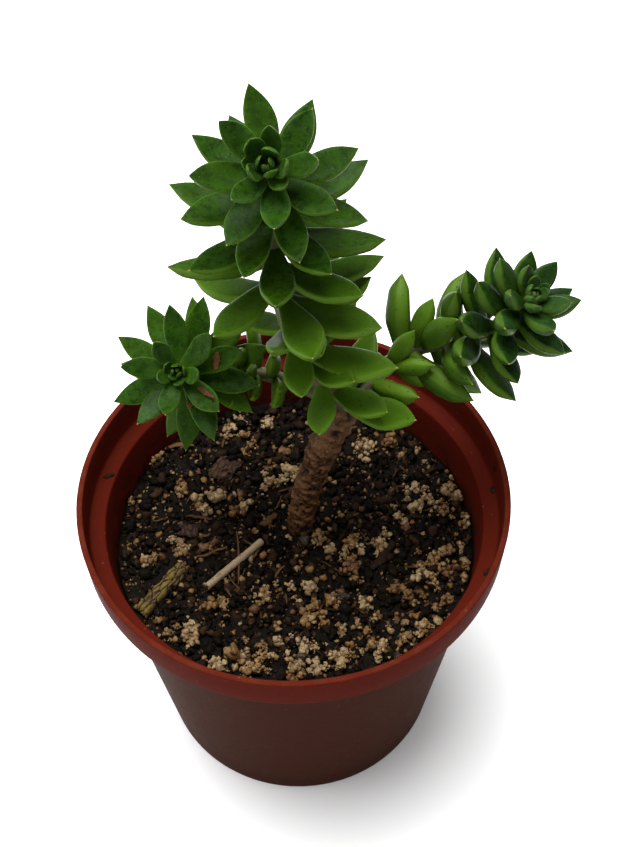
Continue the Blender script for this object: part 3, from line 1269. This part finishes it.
def add_strip(skin, rows, course, tone, streaks):
    """A thin closed strip: course gives its centre and two half axes at a share of the way along it."""
    depth, pace, seed = streaks
    points, tones = [], []
    for row in range(rows + 2):
        t = row / (rows + 1)
        centre, side, upright = course(t)
        if row in (0, rows + 1):
            points.append(centre)
            tones.append(tone)
            continue
        for number, (angle, way) in enumerate(ways_round(STRIP_SIDES, side, upright)):
            points.append(centre + way)
            tones.append(tone + depth * wander(t * pace, number, seed, 1.0))
    skin.add([tuple(point) for point in points], sheath_faces(rows, STRIP_SIDES), straw_tone=tones)


def add_sliver(skin, draw, start, end, width, thickness, tone):
    """A thin torn strip that follows the soil."""
    span = end - start
    side = span.cross(UP).normalized()
    bow = draw.uniform(-0.10, 0.10) * span.length

    def course(t):
        drift = 0.25 * width * wander(t * 6, tone * 9, start.x / MM, 1.0)
        centre = start + span * t + side * (bow * math.sin(math.pi * t) + drift)
        centre.z = soil_height(centre.x, centre.y) + LITTER_LIFT + 0.35 * thickness
        taper = max(0.05, math.sin(math.pi * (0.08 + 0.84 * t))) ** 0.6
        taper *= 1 + 0.25 * wander(t * 9, start.y / MM, tone, 1.0)
        return centre, side * (width / 2 * taper), UP * (thickness / 2 * taper)

    add_strip(skin, 22, course, tone, (0.12, 20, tone))


def seen_surface(name):
    """A search tree of a finished piece."""
    mesh = bpy.data.objects[name].data
    corners = [vertex.co for vertex in mesh.vertices]
    return BVHTree.FromPolygons(corners, [face.vertices for face in mesh.polygons])


def add_scrap(skin, pixel, length, width, turn, tone, surface):
    """A dry scrap that lies where the sight line through a point of the photograph meets a surface."""
    view = camera_frame()
    turned = view.to_3x3()
    aim = Vector((pixel[0] - PHOTO_WIDTH / 2, PHOTO_HEIGHT / 2 - pixel[1], -FOCAL_PIXELS))
    spot, facing, _, _ = surface.ray_cast(view.translation, (turned @ aim).normalized())
    along = turned @ Vector((math.cos(turn), math.sin(turn), 0.0))
    along = (along - facing * along.dot(facing)).normalized()
    side = along.cross(facing)

    def course(t):
        bend = math.sin(math.pi * t)
        drift = 0.10 * length * wander(t * 4, length / MM, 0.3, 1.0)
        near, outward, _, _ = surface.find_nearest(spot + along * (length * (t - 0.5)) + side * drift)
        half = 0.5 * width * max(0.12, bend) ** 0.5 * (1 + 0.35 * wander(t * 7, width / MM, 0.7, 1.0))
        return near + outward * (0.12 * MM + 0.25 * MM * bend), side * half, outward * 0.16 * MM

    add_strip(skin, 14, course, tone, (0.3, 15, turn))


def build_litter():
    """Bark chips, the twig, slivers and fibres on the soil, and brown scraps on the left shoot and pot."""
    yellow = chip_material("Yellow bark", (0.160, 0.104, 0.022), (0.048, 0.028, 0.007),
                           (0.0045, 0.003, 0.0012))
    red = chip_material("Red bark", (0.052, 0.022, 0.009), (0.018, 0.008, 0.004), (0.004, 0.002, 0.0011))
    for name, material, slot in (("bark_chip", yellow, "bark_yellow"), ("bark_flake", red, "bark_red"),
                                 ("brown_chip", red, "bark_red")):
        place(build_chip(name, material), slot, name)
    build_twig()

    draw = random.Random(9)
    skin = Skin()
    for start, end, width, tone in SLIVERS:
        start, end = [Vector((*point, 0.0)) * MM for point in (start, end)]
        add_sliver(skin, draw, start, end, width * MM, max(0.3, 0.4 * width) * MM, tone)
    limit = inner_radius(SOIL_LEVEL) - 6.0 * MM
    for _ in range(80):
        reach = limit * math.sqrt(draw.random())
        angle = draw.uniform(0, 2 * math.pi)
        way = draw.uniform(0, 2 * math.pi)
        length = draw.uniform(1.5, 6.0) * MM
        start = Vector((reach * math.cos(angle), reach * math.sin(angle), 0.0))
        end = start + Vector((math.cos(way), math.sin(way), 0.0)) * length
        width = draw.uniform(0.15, 0.9) * MM
        tone = draw.uniform(0.4, 1.0)
        add_sliver(skin, draw, start, end, width, max(0.12 * MM, 0.35 * width), tone)
    for pixel, length, width, turn, tone, piece in SCRAPS:
        add_scrap(skin, pixel, length * MM, width * MM, math.radians(turn), tone, seen_surface(piece))
    brown = straw_material("Sliver", (0.125, 0.060, 0.021), (0.0085, 0.0034, 0.0016))
    place(skin.piece("soil_slivers", brown), "straw")


def camera_frame():
    """The photograph's camera: its place and its right, up and backward directions as columns."""
    def turned(first, second, angle):
        c, s = math.cos(angle), math.sin(angle)
        return first * c - second * s, first * s + second * c

    place_of = Vector((0.0, -math.cos(CAMERA_ELEVATION), math.sin(CAMERA_ELEVATION))) * CAMERA_DISTANCE
    ahead = -place_of.normalized()
    right = Vector((1.0, 0.0, 0.0))
    up = right.cross(ahead)
    ahead, right = turned(ahead, right, CAMERA_YAW)
    up, ahead = turned(up, ahead, CAMERA_PITCH)
    right, up = turned(right, up, CAMERA_ROLL)
    matrix = Matrix((right, up, -ahead)).transposed().to_4x4()
    matrix.translation = place_of + RIM_CENTRE
    return matrix


def build_stage(look):
    """A plain pale floor, soft light from above and from the left, and the photograph's camera."""
    mesh = bpy.data.meshes.new("floor")
    bm = bmesh.new()
    bmesh.ops.create_grid(bm, x_segments=1, y_segments=1, size=FLOOR_HALF_WIDTH)
    bm.to_mesh(mesh)
    bm.free()
    tree = start_material("Pale floor")
    colour = blend(tree, mottle(tree, 3.0, 0.05), tint(look.floor, 0.99), look.floor)
    mesh.materials.append(finish("Pale floor", colour, 0.9, Specular_IOR_Level=0.0))
    add_object("floor", mesh)

    world = bpy.data.worlds.new("Surround")
    world.use_nodes = True
    backdrop = world.node_tree.nodes["Background"]
    backdrop.inputs["Color"].default_value = (1.0, 1.0, 1.0, 1.0)
    backdrop.inputs["Strength"].default_value = look.sky
    bpy.context.scene.world = world

    for name, (spot, size, share) in LIGHTS.items():
        light = bpy.data.lights.new(name, "AREA")
        light.shape = "DISK"
        light.size = size
        light.energy = look.key * share
        lamp = add_object(name, light)
        lamp.location = spot
        lamp.rotation_euler = (LIGHT_AIM - spot).to_track_quat("-Z", "Y").to_euler()

    camera = bpy.data.cameras.new("camera")
    camera.sensor_fit = "HORIZONTAL"
    camera.sensor_width = SENSOR_WIDTH
    camera.lens = SENSOR_WIDTH * FOCAL_PIXELS / PHOTO_WIDTH
    camera.clip_start = 0.01
    viewer = add_object("camera", camera)
    viewer.matrix_world = camera_frame()
    bpy.context.scene.camera = viewer
    bpy.context.scene.view_settings.view_transform = "Standard"


class SEDUM_OT_pot(bpy.types.Operator):
    """Build the moulded pot"""
    bl_idname = "potted_sedum.pot"
    bl_label = "Pot"

    def execute(self, context):
        build_pot(context.scene.sedum_pot)
        return {"FINISHED"}


class SEDUM_OT_soil(bpy.types.Operator):
    """Build the soil's crumbly bed"""
    bl_idname = "potted_sedum.soil"
    bl_label = "Soil"

    def execute(self, context):
        build_soil(context.scene.sedum_soil)
        return {"FINISHED"}


class SEDUM_OT_grains(bpy.types.Operator):
    """Scatter pale grains and dark crumbs on the soil"""
    bl_idname = "potted_sedum.grains"
    bl_label = "Grains"

    def execute(self, context):
        build_grains(context.scene.sedum_soil)
        return {"FINISHED"}


class SEDUM_OT_trunk(bpy.types.Operator):
    """Build the bare old trunk"""
    bl_idname = "potted_sedum.trunk"
    bl_label = "Trunk"

    def execute(self, context):
        build_trunk(context.scene.sedum_bark)
        return {"FINISHED"}


class SEDUM_OT_shoots(bpy.types.Operator):
    """Build the three leafy shoots"""
    bl_idname = "potted_sedum.shoots"
    bl_label = "Shoots"

    def execute(self, context):
        build_shoots(context.scene.sedum_leaf)
        return {"FINISHED"}


class SEDUM_OT_litter(bpy.types.Operator):
    """Lay the bark, the twig and the slivers on the soil"""
    bl_idname = "potted_sedum.litter"
    bl_label = "Litter"

    def execute(self, context):
        build_litter()
        return {"FINISHED"}


class SEDUM_OT_stage(bpy.types.Operator):
    """Set up the floor, the lights and the camera"""
    bl_idname = "potted_sedum.stage"
    bl_label = "Stage"

    def execute(self, context):
        build_stage(context.scene.sedum_stage)
        return {"FINISHED"}


STEPS = (SEDUM_OT_pot, SEDUM_OT_soil, SEDUM_OT_grains, SEDUM_OT_trunk, SEDUM_OT_shoots, SEDUM_OT_litter,
         SEDUM_OT_stage)
LOOKS = {"sedum_pot": PotLook, "sedum_leaf": LeafLook, "sedum_bark": BarkLook, "sedum_soil": SoilLook,
         "sedum_stage": StageLook}


class SEDUM_PT_panel(bpy.types.Panel):
    """Lists the steps that build the sedum"""
    bl_idname = "SEDUM_PT_panel"
    bl_label = "Potted sedum"
    bl_space_type = "VIEW_3D"
    bl_region_type = "UI"
    bl_category = "Sedum"

    def draw(self, context):
        for step in STEPS:
            self.layout.operator(step.bl_idname)
        for name, look in LOOKS.items():
            box = self.layout.box()
            for key in look.__annotations__:
                box.prop(getattr(context.scene, name), key)


CLASSES = (*LOOKS.values(), *STEPS, SEDUM_PT_panel)


def register():
    for item in CLASSES:
        bpy.utils.register_class(item)
    for name, look in LOOKS.items():
        setattr(bpy.types.Scene, name, bpy.props.PointerProperty(type=look))


def unregister():
    for name in LOOKS:
        delattr(bpy.types.Scene, name)
    for item in reversed(CLASSES):
        bpy.utils.unregister_class(item)


def main():
    register()
    for name in ("pot", "soil", "grains", "trunk", "shoots", "litter", "stage"):
        getattr(bpy.ops.potted_sedum, name)()


if __name__ == "__main__":
    main()
